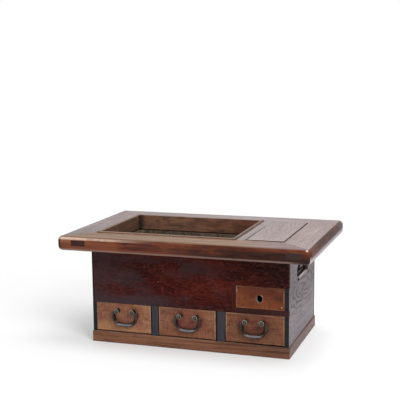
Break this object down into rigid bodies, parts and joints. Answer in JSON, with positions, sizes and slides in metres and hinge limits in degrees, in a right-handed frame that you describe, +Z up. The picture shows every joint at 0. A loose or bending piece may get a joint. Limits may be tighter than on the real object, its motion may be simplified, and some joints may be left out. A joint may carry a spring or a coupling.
{
  "type": "long brazier chest",
  "caption": "Long wooden brazier chest with a wide table rim, a copper-lined hearth, a lidded well and sliding drawers with bail handles.",
  "frame": {"origin": "centre of the footprint at floor level, under the middle of the body", "axes": "+X along the length to the right of someone facing the drawers, +Z up, drawers open towards -Y"},
  "size_m": [0.754, 0.4848, 0.3321],
  "materials": {
    "table_wood": "worn oiled hardwood with long grain",
    "lining_wood": "worn oiled hardwood, lighter brown",
    "lid_wood": "worn flat-sawn hardwood",
    "side_panel_wood": "weathered flat-sawn hardwood, grey brown",
    "front_panel_wood": "dark red-brown lacquered hardwood",
    "dark_post_wood": "dark stained hardwood",
    "drawer_front_wood": "worn orange-brown hardwood",
    "plinth_wood": "worn brown hardwood",
    "inner_wood": "plain unfinished wood",
    "copper": "dull patinated copper sheet",
    "iron": "dark forged iron"
  },
  "bodies": {
    "carcass": {"table_front_rail": "table_wood", "table_back_rail": "table_wood", "table_left_rail": "table_wood", "table_right_rail": "table_wood", "table_divider_rail": "table_wood", "hearth_lining_front": "lining_wood", "hearth_lining_back": "lining_wood", "hearth_lining_left": "lining_wood", "hearth_lining_right": "lining_wood", "left_side_panel": "side_panel_wood", "right_side_panel": "side_panel_wood", "back_panel": "side_panel_wood", "front_panel": "front_panel_wood", "mid_rail": "front_panel_wood", "deck_board": "inner_wood", "hearth_partition": "dark_post_wood", "well_floor": "inner_wood", "drawer_post_left": "dark_post_wood", "drawer_partition_left": "inner_wood", "drawer_post_right": "dark_post_wood", "drawer_partition_right": "inner_wood", "drawer_guide_strips": "inner_wood", "plinth_front": "plinth_wood", "plinth_back": "plinth_wood", "plinth_left": "plinth_wood", "plinth_right": "plinth_wood", "bottom_board": "inner_wood", "bottom_cleats": "inner_wood"},
    "drawer_1": {"drawer_1_front": "drawer_front_wood", "drawer_1_left_side": "inner_wood", "drawer_1_right_side": "inner_wood", "drawer_1_back": "inner_wood", "drawer_1_bottom": "inner_wood", "drawer_1_handle_posts": "iron"},
    "drawer_2": {"drawer_2_front": "drawer_front_wood", "drawer_2_left_side": "inner_wood", "drawer_2_right_side": "inner_wood", "drawer_2_back": "inner_wood", "drawer_2_bottom": "inner_wood", "drawer_2_handle_posts": "iron"},
    "drawer_3": {"drawer_3_front": "drawer_front_wood", "drawer_3_left_side": "inner_wood", "drawer_3_right_side": "inner_wood", "drawer_3_back": "inner_wood", "drawer_3_bottom": "inner_wood", "drawer_3_handle_posts": "iron"},
    "small_drawer": {"small_drawer_front": "drawer_front_wood", "small_drawer_left_side": "inner_wood", "small_drawer_right_side": "inner_wood", "small_drawer_back": "inner_wood", "small_drawer_bottom": "inner_wood"},
    "bail_1": {"drawer_1_bail": "iron"},
    "bail_2": {"drawer_2_bail": "iron"},
    "bail_3": {"drawer_3_bail": "iron"},
    "lid": {"lid_board": "lid_wood", "lid_battens": "inner_wood"},
    "liner": {"copper_liner": "copper"}
  },
  "joints": [
    {"name": "drawer_1_slide", "type": "slide", "parent": "carcass", "child": "drawer_1", "axis": [0, -1, 0], "range_m": [0, 0.25]},
    {"name": "drawer_2_slide", "type": "slide", "parent": "carcass", "child": "drawer_2", "axis": [0, -1, 0], "range_m": [0, 0.25]},
    {"name": "drawer_3_slide", "type": "slide", "parent": "carcass", "child": "drawer_3", "axis": [0, -1, 0], "range_m": [0, 0.25]},
    {"name": "small_drawer_slide", "type": "slide", "parent": "carcass", "child": "small_drawer", "axis": [0, -1, 0], "range_m": [0, 0.25]},
    {"name": "bail_1_hinge", "type": "hinge", "parent": "drawer_1", "child": "bail_1", "pos_m": [-0.19445, -0.17845, 0.0995], "axis": [-1, 0, 0], "range_deg": [0, 165]},
    {"name": "bail_2_hinge", "type": "hinge", "parent": "drawer_2", "child": "bail_2", "pos_m": [0.0022, -0.17845, 0.0995], "axis": [-1, 0, 0], "range_deg": [0, 165]},
    {"name": "bail_3_hinge", "type": "hinge", "parent": "drawer_3", "child": "bail_3", "pos_m": [0.1996, -0.17845, 0.0995], "axis": [-1, 0, 0], "range_deg": [0, 165]},
    {"name": "lid_lift", "type": "slide", "parent": "carcass", "child": "lid", "axis": [0, 0, 1], "range_m": [0, 0.12]},
    {"name": "liner_lift", "type": "slide", "parent": "carcass", "child": "liner", "axis": [0, 0, 1], "range_m": [0, 0.22]}
  ]
}
